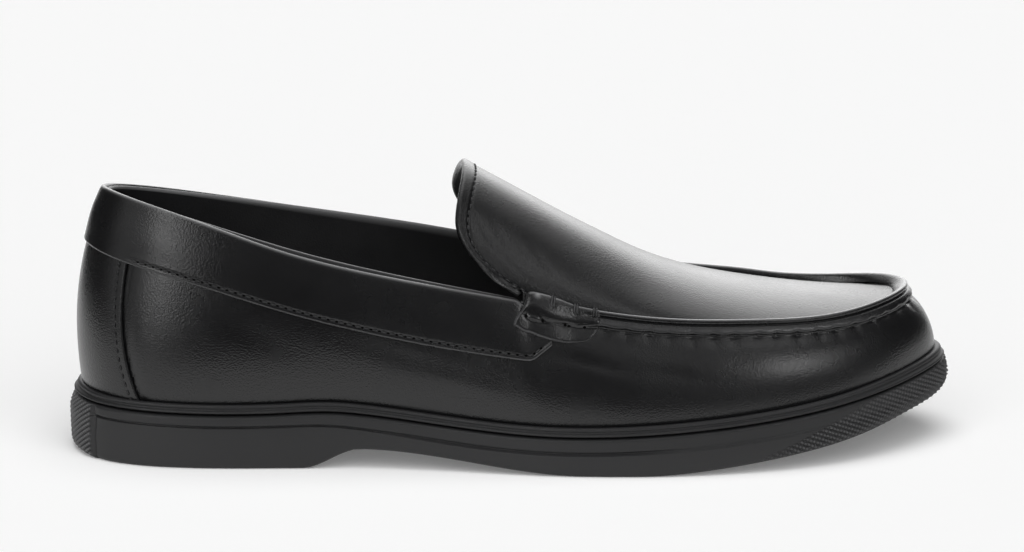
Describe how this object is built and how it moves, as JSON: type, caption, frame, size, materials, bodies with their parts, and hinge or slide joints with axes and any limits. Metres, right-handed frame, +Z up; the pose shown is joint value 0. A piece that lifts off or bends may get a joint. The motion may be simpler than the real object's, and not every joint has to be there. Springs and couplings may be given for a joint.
{
  "type": "moc toe loafer",
  "caption": "Right-foot slip-on loafer with a raised moc toe seam round a plain apron, a collar band, a heel counter, small saddle tabs and a flat rubber sole with a low heel.",
  "frame": {"origin": "on the floor, under the middle of the shoe's bounding box", "axes": "+X from heel to toe, +Y towards the inner side of the foot, +Z up from the floor"},
  "size_m": [0.3024, 0.105, 0.0968],
  "materials": {
    "calf": "smooth black calf with a soft satin shine",
    "rubber": "matt black moulded rubber",
    "sock": "dull black sock leather"
  },
  "bodies": {
    "root": {"outsole": "rubber", "welt": "rubber", "insole": "sock", "upper": "calf", "collar_band": "calf", "heel_counter": "calf", "saddle_tab_outer": "calf", "saddle_tab_inner": "calf"}
  },
  "joints": []
}
